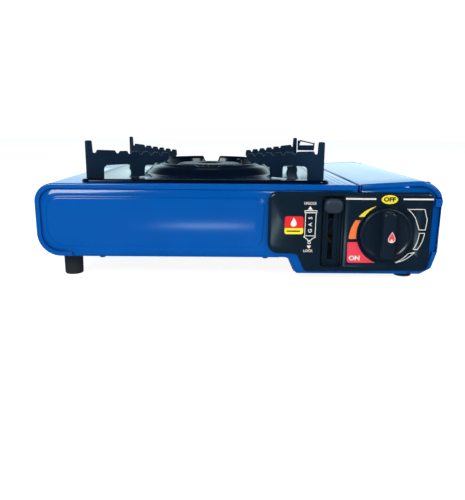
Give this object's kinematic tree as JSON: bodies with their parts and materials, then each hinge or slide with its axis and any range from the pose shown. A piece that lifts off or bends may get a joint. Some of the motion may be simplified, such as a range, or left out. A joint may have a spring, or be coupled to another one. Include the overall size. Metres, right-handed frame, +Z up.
{
  "type": "portable gas stove",
  "caption": "Portable single-burner butane stove: folded steel case, cartridge bay under a hinged lid, control knob, lock lever and a lift-off four-fin pan support.",
  "frame": {"origin": "centre of the bounding box on the ground plane, under the feet", "axes": "+X towards the cartridge side (the right seen from the knob side), +Y towards the back, +Z up"},
  "size_m": [0.345, 0.286, 0.118],
  "materials": {
    "black_enamel": "gloss black vitreous enamel",
    "black_plastic": "gloss black heat-resistant plastic",
    "blue_paint": "gloss baked blue paint",
    "brass": "turned brass",
    "cast_aluminium": "as-cast or mill-finish aluminium",
    "ceramic": "glazed white ceramic",
    "copper": "drawn copper tube",
    "die_cast_zinc": "die-cast zinc alloy",
    "red_lead": "red silicone insulation",
    "rubber": "matt black rubber",
    "spring_steel": "bright spring steel wire",
    "zinc_steel": "bright zinc-plated steel"
  },
  "bodies": {
    "case": {"base_plate": "zinc_steel", "base_screw_1": "zinc_steel", "base_screw_2": "zinc_steel", "body_shell": "blue_paint", "burner_bowl": "cast_aluminium", "burner_cap": "cast_aluminium", "burner_stand": "zinc_steel", "cartridge_stop_plate": "zinc_steel", "control_panel": "black_plastic", "electrode_ceramic": "ceramic", "electrode_clip": "zinc_steel", "foot_front_left": "rubber", "foot_front_right": "rubber", "foot_rear_left": "rubber", "foot_rear_right": "rubber", "front_panel": "blue_paint", "gas_inlet_nozzle": "brass", "gas_pipe": "copper", "heat_plate": "cast_aluminium", "igniter_bracket": "zinc_steel", "ignition_lead": "red_lead", "injector_bracket": "zinc_steel", "injector_nozzle": "brass", "inlet_seal": "rubber", "lever_pivot_pin": "zinc_steel", "lid_hinge_rod": "zinc_steel", "mixing_tube": "zinc_steel", "partition_wall": "zinc_steel", "piezo_igniter": "black_plastic", "pipe_nut": "brass", "pusher_guide_front": "zinc_steel", "pusher_guide_rear": "zinc_steel", "rear_panel": "blue_paint", "rear_screw_1": "zinc_steel", "rear_screw_2": "zinc_steel", "rear_screw_3": "zinc_steel", "regulator_body": "die_cast_zinc", "regulator_cover": "die_cast_zinc", "regulator_diaphragm": "rubber", "regulator_screw_1": "zinc_steel", "regulator_screw_2": "zinc_steel", "regulator_spring": "spring_steel", "right_side_panel": "blue_paint", "spark_electrode": "spring_steel", "spindle_nut": "brass"},
    "knob": {"control_knob": "black_plastic", "valve_spindle": "brass", "igniter_cam": "black_plastic"},
    "lever": {"lock_lever": "zinc_steel", "lever_knob": "black_plastic", "lever_drive_pin": "zinc_steel"},
    "pusher": {"cartridge_pusher": "zinc_steel"},
    "lid": {"cartridge_lid": "blue_paint"},
    "pan_support": {"drip_tray": "black_enamel", "pan_fin_front_left": "black_enamel", "pan_fin_front_right": "black_enamel", "pan_fin_rear_left": "black_enamel", "pan_fin_rear_right": "black_enamel", "lid_tab": "black_enamel"},
    "plunger": {"igniter_plunger": "black_plastic"}
  },
  "joints": [
    {"name": "knob_turn", "type": "hinge", "parent": "case", "child": "knob", "pos_m": [0.125, -0.13, 0.0425], "axis": [0, -1, 0], "range_deg": [0, 130]},
    {"name": "plunger_push", "type": "slide", "parent": "case", "child": "plunger", "axis": [1, 0, 0], "range_m": [0, 0.0052]},
    {"name": "lever_turn", "type": "hinge", "parent": "case", "child": "lever", "pos_m": [0.0791, -0.07, 0.048], "axis": [1, 0, 0], "range_deg": [0, 34]},
    {"name": "pusher_slide", "type": "slide", "parent": "case", "child": "pusher", "axis": [0, -1, 0], "range_m": [0, 0.0082]},
    {"name": "lid_hinge", "type": "hinge", "parent": "case", "child": "lid", "pos_m": [0.1702, 0.008, 0.07], "axis": [0, 1, 0], "range_deg": [0, 95]},
    {"name": "pan_support_lift", "type": "slide", "parent": "case", "child": "pan_support", "axis": [0, 0, 1], "range_m": [0, 0.06]}
  ],
  "couplings": [
    {"joint": "plunger_push", "follows": "knob_turn", "m_per_rad": 0.0022918},
    {"joint": "pusher_slide", "follows": "lever_turn", "m_per_rad": 0.01381}
  ]
}
